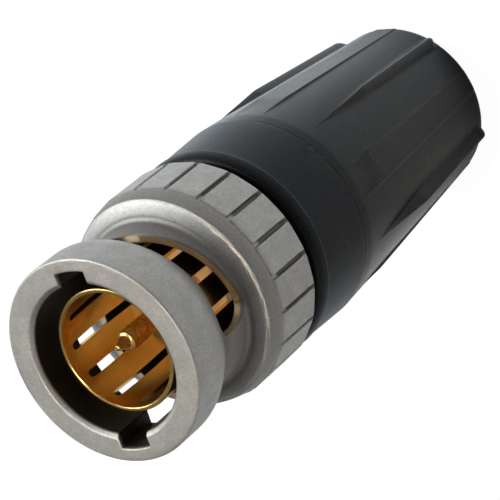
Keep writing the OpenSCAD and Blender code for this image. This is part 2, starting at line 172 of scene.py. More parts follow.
class BootSizes(bpy.types.PropertyGroup):
    collar_front_r: length("Collar front", "Radius of the collar's front", 6.98)
    collar_rear_r: length("Collar rear", "Radius of the collar's rear", 7.12)
    boot_front_r: length("Boot front", "Radius of the boot's front", 7.05)
    boot_rear_r: length("Boot rear", "Radius of the boot's rear", 5.7)
    boot_round: length("Boot rounding", "Rounding of the boot's rear edge", 0.6)
    rib_knee_r: length("Rib knee", "Largest radius over the ribs", 7.18)
    rib_rear_r: length("Rib rear", "Radius over the ribs at the rear", 6.35)
    rib_w: length("Rib width", "Half width of a rib's rear end", 0.8)
    ribs: IntProperty(name="Ribs", description="Ribs round the boot", default=5, min=2)
    pad_turn: turn("Pad angle", "Angle of the first pad", 12.5)
    pad_front_w: length("Pad front", "Width of a pad's front end", 2.25)
    pad_rear_w: length("Pad rear", "Width of a pad's rear end", 1.5)
    pad_h: length("Pad height", "Height of a pad's middle over the cone", 0.06)
    cable_r: length("Cable radius", "Radius of the cable hole", 3.3)
    cable_len: length("Cable hole", "Length of the cable hole", 3.6)


class Finishes(bpy.types.PropertyGroup):
    nickel: tint("Nickel", "Satin nickel of the nut", (0.66, 0.625, 0.58))
    gold: tint("Gold", "Gold plate of the contacts", (0.95, 0.6, 0.2))
    boot: tint("Boot", "Black of the boot", (0.004, 0.004, 0.005))
    collar: tint("Collar", "Black of the collar", (0.005, 0.005, 0.006))
    # The insulators are pale; their tan is painted warm light bounced from the gilt sleeve.
    insulator: tint("Insulator", "Tan of the insulators", (0.8, 0.56, 0.27))
    gasket: tint("Gasket", "Black of the face gasket", (0.02, 0.02, 0.02))
    steel: tint("Steel", "Steel of the spring pack", (0.42, 0.42, 0.43))
    floor: tint("Floor", "Pale floor", (0.86, 0.86, 0.86))


class StudioSettings(bpy.types.PropertyGroup):
    azimuth: turn("Azimuth", "Way from the plug to the camera, round from +X", 26.02)
    elevation: turn("Elevation", "Height of the camera above the horizon", 47.85)
    roll: turn("Roll", "Turn of the camera about its own axis", 130.15)
    distance: length("Distance", "Distance from the camera to its aim point", 188.2)
    aim: FloatVectorProperty(
        name="Aim",
        description="Point that the camera looks at",
        default=(-1.0 * MM, -1.13 * MM, 20.06 * MM),
        subtype="XYZ",
        unit="LENGTH",
        size=3,
    )
    lens: FloatProperty(name="Lens", description="Focal length", default=216, min=20, unit="CAMERA")
    world_light: amount("World light", "Strength of the surrounding light", 0.16, 0, 3)


# ---- shader maths ----


class Wire:
    """A socket that takes part in sums, so that a mask reads as it would on paper."""

    def __init__(self, paint, socket):
        self.paint, self.socket = paint, socket

    def maths(self, operation, *others):
        inputs = dict(enumerate((self, *others)))
        return self.paint.node("ShaderNodeMath", inputs, operation=operation)

    def __add__(self, other):
        return self.maths("ADD", other)

    def __sub__(self, other):
        return self.maths("SUBTRACT", other)

    def __mul__(self, other):
        return self.maths("MULTIPLY", other)

    def __pow__(self, other):
        return self.maths("POWER", other)

    def __rsub__(self, other):
        return self.paint.node("ShaderNodeMath", {0: other, 1: self}, operation="SUBTRACT")

    __radd__ = __add__
    __rmul__ = __mul__

    def clamped(self):
        return self.paint.node("ShaderNodeClamp", {"Value": self})

    def eased(self, low, high):
        """0 below low and 1 above high, with a smooth change between."""
        limits = {"Value": self, "From Min": low, "From Max": high}
        return self.paint.node("ShaderNodeMapRange", limits, interpolation_type="SMOOTHSTEP")


class Paint:
    """One material, or the world, and the few ways this file adds nodes to it."""

    def __init__(self, name, kept_in="materials"):
        self.material = getattr(bpy.data, kept_in).new(name)
        self.material.use_nodes = True
        self.tree = self.material.node_tree
        self.tree.nodes.clear()

    def node(self, kind, inputs=None, output=0, **settings):
        """A new node with its inputs fed, as the wire from one of its outputs."""
        made = self.tree.nodes.new(kind)
        for key, value in settings.items():
            setattr(made, key, value)
        for key, value in (inputs or {}).items():
            self.feed(made.inputs[key], value)
        return Wire(self, made.outputs[output]) if made.outputs else None

    def feed(self, socket, value):
        if isinstance(value, Wire):
            self.tree.links.new(value.socket, socket)
        elif socket.type == "RGBA":
            socket.default_value = (*value[:3], 1)
        else:
            socket.default_value = value

    def blended(self, factor, low, high):
        """A colour that goes from low to high as factor goes from 0 to 1."""
        made = self.tree.nodes.new("ShaderNodeMix")
        made.data_type = "RGBA"
        self.feed(made.inputs["Factor"], factor)
        colours = [s for s in made.inputs if s.type == "RGBA"]
        self.feed(colours[0], low)
        self.feed(colours[1], high)
        return Wire(self, next(s for s in made.outputs if s.type == "RGBA"))

    def place(self):
        """Where a point is on the plug at rest, in millimetres."""
        inputs = {"Vector": self.node("ShaderNodeTexCoord", output="Object"), "Scale": 1 / MM}
        return self.node("ShaderNodeVectorMath", inputs, operation="SCALE")

    def parts_of(self, vector):
        made = self.tree.nodes.new("ShaderNodeSeparateXYZ")
        self.feed(made.inputs[0], vector)
        return [Wire(self, s) for s in made.outputs]

    def noise(self, scale, detail=3.0, rough=0.55, stretch=None):
        at = self.place()
        if stretch:
            at = self.node("ShaderNodeVectorMath", {0: at, 1: stretch}, operation="MULTIPLY")
        inputs = {"Vector": at, "Scale": scale, "Detail": detail, "Roughness": rough}
        return self.node("ShaderNodeTexNoise", inputs)

    def cells(self, scale):
        inputs = {"Vector": self.place(), "Scale": scale}
        return self.node("ShaderNodeTexVoronoi", inputs, feature="SMOOTH_F1")

    def rounded(self, radius_mm):
        """Normals as if corners were rounded by the given radius."""
        return self.node("ShaderNodeBevel", {"Radius": radius_mm * MM}, samples=6)

    def edges(self, radius_mm, reach):
        """A mask that is 1 on corners sharper than the given radius."""
        flat = self.node("ShaderNodeNewGeometry", output="True Normal")
        both = {0: self.rounded(radius_mm), 1: flat}
        same = self.node("ShaderNodeVectorMath", both, "Value", operation="DOT_PRODUCT")
        return ((1 - same) * reach).clamped()

    def bump(self, height, distance_mm, strength=1.0, normal=None):
        inputs = {"Height": height, "Distance": distance_mm * MM, "Strength": strength}
        if normal:
            inputs["Normal"] = normal
        return self.node("ShaderNodeBump", inputs)

    def surface(self, **inputs):
        """Ends the material in one Principled shader."""
        names = {key.replace("_", " "): value for key, value in inputs.items()}
        shader = self.node("ShaderNodeBsdfPrincipled", names)
        self.node("ShaderNodeOutputMaterial", {"Surface": shader})
        return self.material


def dark(colour, share):
    return tuple(c * share for c in colour)


def raised(colour, gain, lift):
    """A colour made lighter, for grain on black, and for edges painted paler as wear and as a
    painted highlight.
    """
    return tuple(c * gain + lift for c in colour)


# ---- finishes ----


def nut_masks(p, s):
    """Masks for the nut's painted light: shade in the bore and keyways, shade in the neck and on
    the flange's face, a gold reflection on the sides of the cam slots, shade in the grip grooves.
    """
    x, y, z = p.parts_of(p.place())
    r = (x * x + y * y) ** 0.5
    depth = FACE / MM - z
    bore_r, key_r, neck_r = s.bore_r / MM, s.key_r / MM, s.neck_r / MM
    key_depth, flange = s.key_depth / MM, s.flange_depth / MM
    # Painted shade: where the bore and keyways are painted near black.
    bore = 1 - r.eased(bore_r + 0.03, bore_r + 0.13)
    keyways = (1 - (x * x).eased(1.1, 1.4)) * (1 - r.eased(key_r - 0.02, key_r + 0.06))
    keyways = keyways * (1 - depth.eased(key_depth - 0.05, key_depth + 0.25))
    inside = ((bore + keyways) * depth.eased(0.12, 0.4)).clamped()
    # Painted shade: where the neck and the flange's face are made darker.
    neck = (1 - r.eased(5.9, 6.8)) * depth.eased(2.8, 4.6)
    neck = neck * (1 - depth.eased(flange - 0.1, flange - 0.02))
    shoulder = depth.eased(flange - 0.12, flange + 0.08)
    neck = neck + shoulder * (1 - depth.eased(flange + 0.68, flange + 1.48)) * 0.8
    # Painted reflection: where the sides of the cam slots take a gold tint from the gilt sleeve
    # beside them.
    gold_lit_walls = r.eased(bore_r + 0.04, bore_r + 0.1) * (1 - r.eased(neck_r - 0.12, neck_r - 0.02))
    gold_lit_walls = gold_lit_walls * depth.eased(4.6, 5.4)
    # Painted shade: where the grip grooves are made dark.
    around = (y.maths("ARCTAN2", x) - s.groove_turn) * s.grooves
    grooves = around.maths("COSINE").eased(0.86, 0.97) * r.eased(6.6, 6.7) * depth.eased(9.2, 9.4)
    return inside, neck, gold_lit_walls, grooves


def satin_nickel(colour, s):
    """Bead-blasted die casting under thin nickel, with edges painted paler, partly as wear and
    partly as a painted highlight, painted shade in its bore, neck and grooves, and a painted gold
    reflection on its cam slots' sides.
    """
    p = Paint("satin_nickel")
    clouds = p.noise(0.9, 4, 0.6)
    grain = p.noise(6.5, 4, 0.7)
    pits = p.cells(5).eased(0.02, 0.32)
    inside, neck, gold_lit_walls, grooves = nut_masks(p, s)
    # Edges painted paler: partly wear, partly a painted highlight.
    worn_and_lit_edges = p.edges(0.16, 3.0) * p.noise(2.2, 3).eased(0.3, 0.6)
    tone = p.blended(clouds.eased(0.3, 0.7), dark(colour, 0.82), colour)
    tone = p.blended(grain.eased(0.4, 0.62) * 0.5, tone, dark(colour, 0.66))
    # Painted shade in the neck and on the flange's face.
    tone = p.blended(neck * (0.45 + clouds * 0.2), tone, (0.15, 0.13, 0.115))
    # Edges painted paler: partly wear, partly a painted highlight.
    tone = p.blended(worn_and_lit_edges * 0.5, tone, (0.74, 0.73, 0.7))
    # Painted reflection of the gilt sleeve on the sides of the cam slots.
    tone = p.blended(gold_lit_walls * 0.75, tone, (0.74, 0.58, 0.36))
    # Painted shade in the grip grooves.
    tone = p.blended(grooves * 0.8, tone, (0.1, 0.09, 0.08))
    # Painted shade: the bore and keyways painted near black.
    tone = p.blended(inside * 0.95, tone, (0.02, 0.016, 0.013))
    rough = 0.42 + grain * 0.16 + clouds * 0.1 - worn_and_lit_edges * 0.1
    height = grain * 0.9 + pits * 0.5 + p.noise(20, 2) * 0.3
    return p.surface(
        Base_Color=tone,
        Metallic=1.0,
        Roughness=rough.clamped(),
        Normal=p.bump(height, 0.02, 0.8, p.rounded(0.07)),
    )


def gold_plate(name, colour, rough, lathed):
    """Gold over turned brass: fine lathe lines round the axis and soft cloudiness."""
    p = Paint(name)
    clouds = p.noise(1.3, 3, 0.55)
    lines = p.noise(1.0, 3, 0.7, stretch=(0.5, 0.5, 26.0))
    tone = p.blended(clouds.eased(0.3, 0.7), dark(colour, 0.9), colour)
    # Painted highlight: the edges of the gold made paler.
    tone = p.blended(p.edges(0.06, 3.0) * 0.5, tone, (1.0, 0.78, 0.42))
    shine = rough + lines * 0.1 + clouds * 0.06
    height = lines * lathed + p.noise(14, 2) * 0.3
    return p.surface(
        Base_Color=tone,
        Metallic=1.0,
        Roughness=shine.clamped(),
        Normal=p.bump(height, 0.006, 0.5),
    )


def grained_black(name, colour, scale, depth_mm, rough):
    """Moulded black plastic with a spark-eroded grain, its edges painted paler: partly wear where
    it is handled, partly a painted highlight.
    """
    p = Paint(name)
    grain = p.noise(scale, 4, 0.65)
    fine = p.noise(scale * 3.1, 2, 0.5)
    clouds = p.noise(0.5, 4, 0.6)
    # Edges painted paler: partly wear where handled, partly a painted highlight on rib and pad
    # edges.
    worn_and_lit_edges = p.edges(0.2, 5) * clouds.eased(0.3, 0.6)
    tone = p.blended(grain.eased(0.35, 0.7), colour, raised(colour, 2.0, 0.004))
    # Painted highlight and wear on the edges.
    tone = p.blended(worn_and_lit_edges * 0.8, tone, raised(colour, 5.0, 0.03))
    shine = rough + grain * 0.18 - clouds * 0.1 - worn_and_lit_edges * 0.08
    return p.surface(
        Base_Color=tone,
        Roughness=shine.clamped(),
        Specular_IOR_Level=0.21,
        Normal=p.bump(grain * 1.3 + fine * 0.7, depth_mm, 1.0, p.rounded(0.06)),
    )


def machined_metal(name, colour, rough):
    """Turned and plated metal with fine rings."""
    p = Paint(name)
    rings = p.noise(1.0, 3, 0.7, stretch=(0.4, 0.4, 20.0))
    clouds = p.noise(0.8, 3)
    tone = p.blended(clouds.eased(0.3, 0.7), dark(colour, 0.86), colour)
    return p.surface(
        Base_Color=tone,
        Metallic=1.0,
        Roughness=(rough + rings * 0.15).clamped(),
        Normal=p.bump(rings, 0.008, 0.6),
    )


def soft_white(colour):
    """Pale fluoroplastic, waxy and slightly see-through, with a tan base colour that paints in the
    warm light bounced from the gilt round it.
    """
    p = Paint("insulator_white")
    clouds = p.noise(1.2, 3)
    rings = p.noise(1.0, 2, 0.6, stretch=(0.5, 0.5, 14.0))
    tone = p.blended(clouds.eased(0.3, 0.7), dark(colour, 0.93), colour)
    return p.surface(
        Base_Color=tone,
        Roughness=(0.38 + rings * 0.14).clamped(),
        Subsurface_Weight=0.15,
        Subsurface_Scale=0.3 * MM,
        Normal=p.bump(rings, 0.006, 0.5),
    )


def dull_rubber(colour):
    p = Paint("gasket_rubber")
    grain = p.noise(7, 4, 0.6)
    tone = p.blended(grain.eased(0.3, 0.7), colour, raised(colour, 1.8, 0.004))
    return p.surface(
        Base_Color=tone,
        Roughness=(0.62 + grain * 0.2).clamped(),
        Normal=p.bump(grain, 0.01, 0.7),
    )


def studio_floor(colour):
    """Pale floor that the camera and glossy things see as white, with the shadow kept."""
    p = Paint("studio_floor")
    speck = p.noise(0.02, 2)
    tone = p.blended(speck.eased(0.3, 0.7) * 0.1, colour, dark(colour, 0.97))
    matt = p.node("ShaderNodeBsdfDiffuse", {"Color": tone})
    white = p.node("ShaderNodeEmission", {"Color": (1, 1, 1), "Strength": 1.1})
    to_camera = p.node("ShaderNodeLightPath", output="Is Camera Ray")
    to_gloss = p.node("ShaderNodeLightPath", output="Is Glossy Ray")
    share = to_camera * 0.88 + to_gloss * 0.1
    both = p.node("ShaderNodeMixShader", {0: share.clamped(), 1: matt, 2: white})
    p.node("ShaderNodeOutputMaterial", {"Surface": both})
    return p.material


# ---- outlines ----


def softened(corners, steps=5):
    """Turns (radius, depth, rounding) corners of a closed outline into a line with arcs."""
    out = []
    count = len(corners)
    for i, corner in enumerate(corners):
        here = np.array(corner[:2], float)
        rounding = corner[2] if len(corner) > 2 else 0
        if not rounding:
            out.append(tuple(here))
            continue
        before = np.array(corners[i - 1][:2], float) - here
        after = np.array(corners[(i + 1) % count][:2], float) - here
        long_before, long_after = np.linalg.norm(before), np.linalg.norm(after)
        reach = min(rounding, 0.48 * long_before, 0.48 * long_after)
        start, end = before / long_before * reach, after / long_after * reach
        for k in range(steps + 1):
            t = k / steps
            out.append(tuple(here + start * (1 - t) ** 2 + end * t**2))
    return out


def divided(line, step, closed=True):
    """Adds points so that no stretch of the line is longer than step."""
    out = []
    count = len(line)
    for i in range(count if closed else count - 1):
        a, b = np.array(line[i]), np.array(line[(i + 1) % count])
        pieces = max(1, ceil(np.linalg.norm(b - a) / step))
        out += [tuple(a + (b - a) * k / pieces) for k in range(pieces)]
    if not closed:
        out.append(tuple(line[-1]))
    return out


def even_angles(count):
    return [2 * pi * i / count for i in range(count)]


def repeated_angles(count, first, offsets):
    """The same offsets round each of count features, the first at angle first."""
    pitch = 2 * pi / count
    both = sorted({round(s * o, 9) for o in offsets for s in (1, -1) if abs(o) < pitch / 2})
    both.append(pitch / 2)
    return [first + k * pitch + o for k in range(count) for o in both]


# ---- meshes ----


def added(name, data):
    """A new object in the scene."""
    thing = bpy.data.objects.new(name, data)
    bpy.context.collection.objects.link(thing)
    return thing


def built_mesh(name, points, faces, weld=True):
    """A mesh with its normals outwards, and doubled points joined if asked for."""
    mesh = bpy.data.meshes.new(name)
    mesh.from_pydata([tuple(p) for p in points], [], faces)
    work = bmesh.new()
    work.from_mesh(mesh)
    if weld:
        bmesh.ops.remove_doubles(work, verts=work.verts, dist=1e-8)
        bmesh.ops.dissolve_degenerate(work, edges=work.edges, dist=1e-8)
    bmesh.ops.recalc_face_normals(work, faces=work.faces)
    work.to_mesh(mesh)
    work.free()
    return mesh


def dress(mesh, material):
    """Gives a mesh its finish, smooth but for its creases."""
    mesh.materials.clear()
    mesh.materials.append(material)
    mesh.shade_smooth()
    mesh.set_sharp_from_angle(angle=CREASE)


def new_piece(name, skin, material, body, stands_for):
    """A finished piece: points and faces, finish, body, material slot and its CAD node."""
    piece = added(name, built_mesh(name, *skin))
    dress(piece.data, material)
    weights = piece.modifiers.new("even_shading", "WEIGHTED_NORMAL")
    weights.keep_sharp = True
    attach(piece, body)
    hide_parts(stands_for)
    return piece


def turned(outline, angles, shape=None):
    """Points and faces of an outline of (radius, depth) turned about the axis.

    shape(r, depth, angle), where there is one, moves each point.
    """
    points, faces, rows = [], [], []
    wide = len(angles)
    for r, depth in outline:
        start = len(points)
        if r < 1e-7:
            points.append((0, 0, FACE - depth))
            rows.append([start] * wide)
            continue
        for angle in angles:
            here_r, down, around = shape(r, depth, angle) if shape else (r, depth, angle)
            points.append((here_r * cos(around), here_r * sin(around), FACE - down))
        rows.append(list(range(start, start + wide)))
    for k, row in enumerate(rows):
        below = rows[(k + 1) % len(rows)]
        if row[0] == row[-1] and below[0] == below[-1]:
            continue
        for i in range(wide):
            j = (i + 1) % wide
            face = [row[i], row[j], below[j], below[i]]
            unique = [v for n, v in enumerate(face) if v not in face[:n]]
            if len(unique) > 2:
                faces.append(unique)
    return points, faces


def cut_away(piece, cutters):
    """Takes closed meshes out of a piece and keeps the result as its mesh."""
    for points, faces in cutters:
        tool = added("cutter", built_mesh("cutter", points, faces, weld=False))
        cut = piece.modifiers.new("cut", "BOOLEAN")
        cut.operation, cut.solver, cut.object = "DIFFERENCE", "EXACT", tool
        bpy.context.view_layer.update()
        view = bpy.context.evaluated_depsgraph_get()
        result = bpy.data.meshes.new_from_object(piece.evaluated_get(view))
        piece.modifiers.remove(cut)
        piece.data = result
        bpy.data.objects.remove(tool)


def loft_faces(count, rings):
    """Side faces between rings of count points each, one ring after another."""
    faces = []
    for ring in range(rings - 1):
        a, b = ring * count, (ring + 1) * count
        for i in range(count):
            j = (i + 1) % count
            faces.append((a + i, a + j, b + j, b + i))
    return faces


def quarter_turn(count):
    """Angles from 0 to a right angle."""
    return np.linspace(0, pi / 2, count)


def mixed(a, b, t):
    return a + (b - a) * t


def smooth(t):
    t = min(1.0, max(0.0, t))
    return t * t * (3 - 2 * t)


def soft_max(a, b, width):
    """The larger of two heights, with a fillet where they meet."""
    h = max(width - abs(a - b), 0.0) / width
    return max(a, b) + h * h * width / 4


# ---- coupling nut ----


def nut_profile(s):
    """(depth, radius) down the nut's outside, from the front ring to the grip."""
    root_r, root_depth = s.neck_r + 0.14 * MM, s.flange_depth - 0.75 * MM
    face_r, face_depth = root_r + 0.4 * MM, s.flange_depth - 0.42 * MM
    line = [(0.0, s.ring_r)]
    for t in np.linspace(0, 1, 31):
        bent = (1 + cos(pi * t)) / 2
        line.append((mixed(s.ring_len, s.neck_depth, t), mixed(s.neck_r, s.ring_r, bent)))
    line.append((mixed(s.neck_depth, root_depth, 0.55), s.neck_r + 0.05 * MM))
    for a in quarter_turn(9):
        depth = mixed(root_depth, face_depth, sin(a))
        line.append((depth, mixed(root_r, face_r, 1 - cos(a))))
    line.append((s.flange_depth, s.flange_r))
    for t in np.linspace(0.12, 1, 9):
        bent = sin(pi / 2 * t)
        line.append((mixed(s.flange_depth, s.nose_depth, t), mixed(s.flange_r, s.nose_r, bent)))
    line.append((s.nose_depth + 0.16 * MM, s.grip_r))
    return line


def nut_radius(s, depth):
    """Radius of the nut's outside at a depth, before grooves and slots."""
    return float(np.interp(depth, *zip(*nut_profile(s))))


def nut_outline(s):
    rounding = {s.flange_depth: 0.06, s.nose_depth: 0.04, s.nose_depth + 0.16 * MM: 0.05}
    outside = [(s.ring_r, 0, 0.14 * MM)]
    for depth, r in nut_profile(s)[1:]:
        outside.append((r, depth, rounding.get(depth, 0) * MM))
    corners = outside + [
        (s.grip_r, s.nut_len, 0.15 * MM),
        (s.spigot_r, s.nut_len, 0.08 * MM),
        (s.spigot_r, s.spigot_depth - 0.1 * MM),
        (s.chamber_r, s.spigot_depth - 0.1 * MM),
        (s.chamber_r, s.seat_depth),
        (s.bore_r, s.seat_depth),
        (s.bore_r, s.bore_bevel, 0.08 * MM),
        (s.bore_r + s.bore_bevel, 0, 0.08 * MM),
    ]
    return divided(softened(corners, 4), 0.2 * MM)


def grip_shape(s):
    """How flats and grooves change the grip's radius."""
    pitch = 2 * pi / s.grooves
    front, back = s.nose_depth + 0.05 * MM, s.nut_len - 0.3 * MM
    middle, half_len = (front + back) / 2, (back - front) / 2 - s.groove_w / 2

    def shape(r, depth, angle):
        if r < s.spigot_r + 0.3 * MM or depth < s.flange_depth:
            return r, depth, angle
        off = (angle - s.groove_turn) % pitch
        off = min(off, pitch - off)
        flat = s.flats_r / cos(pitch / 2 - off)
        if flat < r:
            r = flat + (r - flat) * 0.04
        across = off * s.flats_r
        along = max(abs(depth - middle) - half_len, 0)
        edge = hypot(across, along) - s.groove_w / 2
        r -= s.groove_cut * smooth((0.02 * MM - edge) / (0.08 * MM))
        return r, depth, angle

    return shape


def slot_station(s, t):
    """(angle from the keyway, centre depth, half width) of the cam slot at share t."""

    def ease(x):
        return (1 - cos(pi * min(1, max(0, x)))) / 2

    width = s.slot_w
    width += (2 * s.start_r - s.slot_w) * ease(1 - t / 0.25)
    width += (2 * s.pocket_r - s.slot_w) * ease((t - 0.66) / 0.34)
    rear = mixed(s.ramp_start, s.ramp_end, t) + 0.15 * MM * sin(pi * t)
    return mixed(radians(11), s.lock_turn, t), rear - width / 2, width / 2


def slot_middle_r(s):
    return (s.neck_r + s.bore_r) / 2


def slot_rim(s):
    """The cam slot's edge as (angle from the keyway, depth), front side then rear side."""
    caps, ramp = 12, 48

    def cap(t, radius, way):
        angle, depth, _ = slot_station(s, t)
        turns = []
        for k in range(1, caps + 1):
            a = pi / 2 * k / caps
            turned_by = radius * sin(a) / slot_middle_r(s)
            turns.append((angle + way * turned_by, depth, max(0.03 * MM, radius * cos(a))))
        return turns

    stations = cap(0, s.start_r, -1)[::-1]
    stations += [slot_station(s, k / ramp) for k in range(ramp + 1)]
    stations += cap(1, s.pocket_r, 1)
    front = [(a, d - h) for a, d, h in stations]
    rear = [(a, d + h) for a, d, h in stations]
    return front, rear


def cam_slot_cutter(s, key_angle, round_mm=0.1):
    """A cutter for one cam slot whose flared ends leave rounded edges on the nut."""
    front, rear = slot_rim(s)
    loop = np.array(front + rear[::-1])
    middle_r = slot_middle_r(s)
    flat = np.column_stack([loop[:, 0] * middle_r, loop[:, 1]])
    ahead, behind = np.roll(flat, -1, 0), np.roll(flat, 1, 0)
    along = ahead - behind
    along /= np.linalg.norm(along, axis=1)[:, None]
    normal = np.column_stack([along[:, 1], -along[:, 0]])
    centre = flat.mean(0)
    if np.mean(np.einsum("ij,ij->i", normal, flat - centre)) < 0:
        normal = -normal
    e = round_mm * MM
    layers = [(e, "in", -0.6 * MM), (e, "in", 0.0)]
    for a in quarter_turn(5)[1:]:
        layers.append((e * (1 - sin(a)), "in", e * (1 - cos(a))))
    for a in quarter_turn(6)[:-1]:
        layers.append((e * (1 - cos(a)), "out", -e + e * sin(a)))
    layers += [(e, "out", 0.0), (e, "out", 1.2 * MM)]
    points = []
    count = len(loop)
    for offset, side, rise in layers:
        moved = flat + normal * offset
        for x, depth in moved:
            base = nut_radius(s, depth) if side == "out" else s.bore_r
            angle = key_angle - x / middle_r
            r = base + rise
            points.append((r * cos(angle), r * sin(angle), FACE - depth))
    faces = loft_faces(count, len(layers))
    half = len(front)
    last = (len(layers) - 1) * count
    for i in range(half - 1):
        strip = (i, i + 1, count - 2 - i, count - 1 - i)
        faces.append(strip[::-1])
        faces.append(tuple(last + v for v in strip))
    return points, faces


def keyway_cutter(s, key_angle):
    """A cutter for one keyway: parallel sides, curved floor, eased mouth."""
    e = 0.07 * MM
    layers = [(e, -0.5 * MM), (e, 0.0)]
    layers += [(e * (1 - sin(a)), e * (1 - cos(a))) for a in quarter_turn(4)[1:]]
    layers += [(0.0, s.key_depth)]
    c, n = cos(key_angle), sin(key_angle)
    points = []
    steps = 10
    for grow, depth in layers:
        half, r = s.key_w / 2 + grow, s.key_r + grow
        reach = asin(half / r)
        arc = [reach - 2 * reach * k / steps for k in range(steps + 1)]
        plan = [(3.2 * MM, -half), (3.2 * MM, half)]
        plan += [(r * cos(a), r * sin(a)) for a in arc]
        points += [(x * c - y * n, x * n + y * c, FACE - depth) for x, y in plan]
    count = steps + 3
    faces = loft_faces(count, len(layers))
    faces.append(tuple(range(count))[::-1])
    faces.append(tuple((len(layers) - 1) * count + i for i in range(count)))
    return points, faces


class PLUG_OT_coupling_nut(bpy.types.Operator):
    """Builds the cast nut with its grip, keyways and cam slots"""

    bl_idname = "plug.coupling_nut"
    bl_label = "Coupling nut"

    def execute(self, context):
        s = context.scene.plug_nut
        half = s.groove_w / 2 / s.flats_r
        offsets = [half * share for share in (0, 0.4, 0.65, 0.8, 0.95, 1.1, 1.3)]
        offsets += [radians(d) for d in (2.2, 3.2, 4.4, 5.6, 6.8, 7.9)]
        angles = repeated_angles(s.grooves, s.groove_turn, offsets)
        skin = turned(nut_outline(s), angles, grip_shape(s))
        material = satin_nickel(context.scene.plug_finishes.nickel, s)
        piece = new_piece("coupling_nut_cast", skin, material, SHELL, "coupling_nut")
        cutters = []
        for key_angle in (pi / 2, -pi / 2):
            cutters += [cam_slot_cutter(s, key_angle), keyway_cutter(s, key_angle)]
        cut_away(piece, cutters)
        dress(piece.data, material)
        return {"FINISHED"}


# ---- contacts ----


def sleeve_mesh(s):
    """The slotted sleeve as one closed skin: rim, ribs between slots, closed base."""
    half = s.slot_w / 2
    half_turn = half / s.sleeve_r
    shares = [0, 0.3, 0.55, 0.75, 0.9, 1.0]
    offsets = [half_turn * x for x in shares] + [half_turn * 1.15]
    offsets += [radians(d) for d in (5.2, 6.8, 8.6, 10.6, 12.8)]
    angles = repeated_angles(s.slots, s.slot_turn, offsets)
    pitch = 2 * pi / s.slots
    rim, base = 6, 6
    bars = 40
    lip = 0.08 * MM

    def off(angle):
        o = (angle - s.slot_turn) % pitch
        return min(o, pitch - o)

    def depth_at(row, angle):
        x = min(off(angle), half_turn) * s.sleeve_r
        bite = sqrt(max(0, half * half - x * x))
        front, back = s.slot_front + half - bite, s.slot_back - half + bite
        if row <= rim:
            return mixed(s.sleeve_recess + lip, front, row / rim)
        if row <= rim + bars:
            return mixed(front, back, (row - rim) / bars)
        return mixed(back, SEAT, (row - rim - bars) / base)

    def bow(depth):
        t = (depth - s.slot_front) / (s.slot_back - s.slot_front)
        return s.sleeve_bow * sin(pi * min(1, max(0, t))) ** 1.2

    rows = rim + bars + base
    wide = len(angles)
    points, faces = [], []

    def add(r, angle, depth):
        points.append((r * cos(angle), r * sin(angle), FACE - depth))

    for inner in (0, 1):
        for row in range(rows + 1):
            for angle in angles:
                depth = depth_at(row, angle)
                add(s.sleeve_r - inner * s.sleeve_wall + bow(depth), angle, depth)
    size = (rows + 1) * wide
    outer_r, inner_r = s.sleeve_r, s.sleeve_r - s.sleeve_wall
    shy, dip = 0.03 * MM, 0.025 * MM
    lip_rows = []
    for r, drop in (
        (outer_r - shy, dip),
        (outer_r - lip, 0),
        (s.sleeve_r - s.sleeve_wall / 2, 0),
        (inner_r + lip, 0),
        (inner_r + shy, dip),
    ):
        lip_rows.append(len(points))
        for angle in angles:
            add(r, angle, s.sleeve_recess + drop)
    in_slot = [off(angle) <= half_turn * 1.001 for angle in angles]
    open_cell = [in_slot[i] and in_slot[(i + 1) % wide] for i in range(wide)]
    chain = [0] + lip_rows + [size]
    last = rows * wide

    def close(i, a, b):
        """A face from column i to the next, between the rows that start at a and b."""
        j = (i + 1) % wide
        faces.append((a + i, a + j, b + j, b + i))

    for i in range(wide):
        for row in range(rows):
            if not (open_cell[i] and rim <= row < rim + bars):
                a, b = row * wide, (row + 1) * wide
                close(i, a, b)
                close(i, size + b, size + a)
        close(i, last, size + last)
        for a, b in zip(chain, chain[1:]):
            close(i, b, a)
        if open_cell[i]:
            for row in (rim, rim + bars):
                close(i, row * wide, size + row * wide)
        if open_cell[i] != open_cell[i - 1]:
            for row in range(rim, rim + bars):
                a, b = row * wide, (row + 1) * wide
                faces.append((a + i, b + i, size + b + i, size + a + i))
    return points, faces


def pin_outline(s):
    shoulder, end = NOSE_END, 16.4 * MM
    groove_front, groove_back, groove_r = 9.0 * MM, 9.65 * MM, 0.5 * MM
    return softened([
        (0, s.pin_recess),
        (0.17 * MM, s.pin_recess, 0.06 * MM),
        (0.42 * MM, s.pin_recess + 0.85 * MM, 0.06 * MM),
        (s.pin_r - 0.07 * MM, s.pin_recess + 0.93 * MM, 0.05 * MM),
        (s.pin_r, s.pin_recess + 1.15 * MM, 0.15 * MM),
        (s.pin_r, groove_front, 0.03 * MM),
        (groove_r, groove_front),
        (groove_r, groove_back),
        (s.pin_r, groove_back),
        (s.pin_r, shoulder),
        (s.barrel_r, shoulder, 0.06 * MM),
        (s.barrel_r, end - 0.1 * MM, 0.08 * MM),
        (s.barrel_r - 0.15 * MM, end, 0.05 * MM),
        (s.conductor_r, end, 0.05 * MM),
        (s.conductor_r, shoulder + 0.7 * MM),
        (0, shoulder + 0.6 * MM),
    ], 5)


class PLUG_OT_contacts(bpy.types.Operator):
    """Builds the gilt contact sleeve and the centre pin"""

    bl_idname = "plug.contacts"
    bl_label = "Contacts"

    def execute(self, context):
        s = context.scene.plug_contacts
        gold = context.scene.plug_finishes.gold
        plate = gold_plate("sleeve_gold", gold, 0.16, 0.3)
        skin = sleeve_mesh(s)
        new_piece("contact_sleeve_gilt", skin, plate, CORE, "contact_sleeve")
        plate = gold_plate("pin_gold", gold, 0.2, 0.35)
        skin = turned(pin_outline(s), even_angles(64))
        new_piece("centre_pin_gilt", skin, plate, CORE, "centre_pin")
        return {"FINISHED"}


# ---- insulators, gasket, body, spring pack ----


def ring_outline(outer, inner, front, back, edge=0.05 * MM):
    return softened(
        [(outer, front, edge), (outer, back, edge), (inner, back, edge), (inner, front, edge)], 3
    )


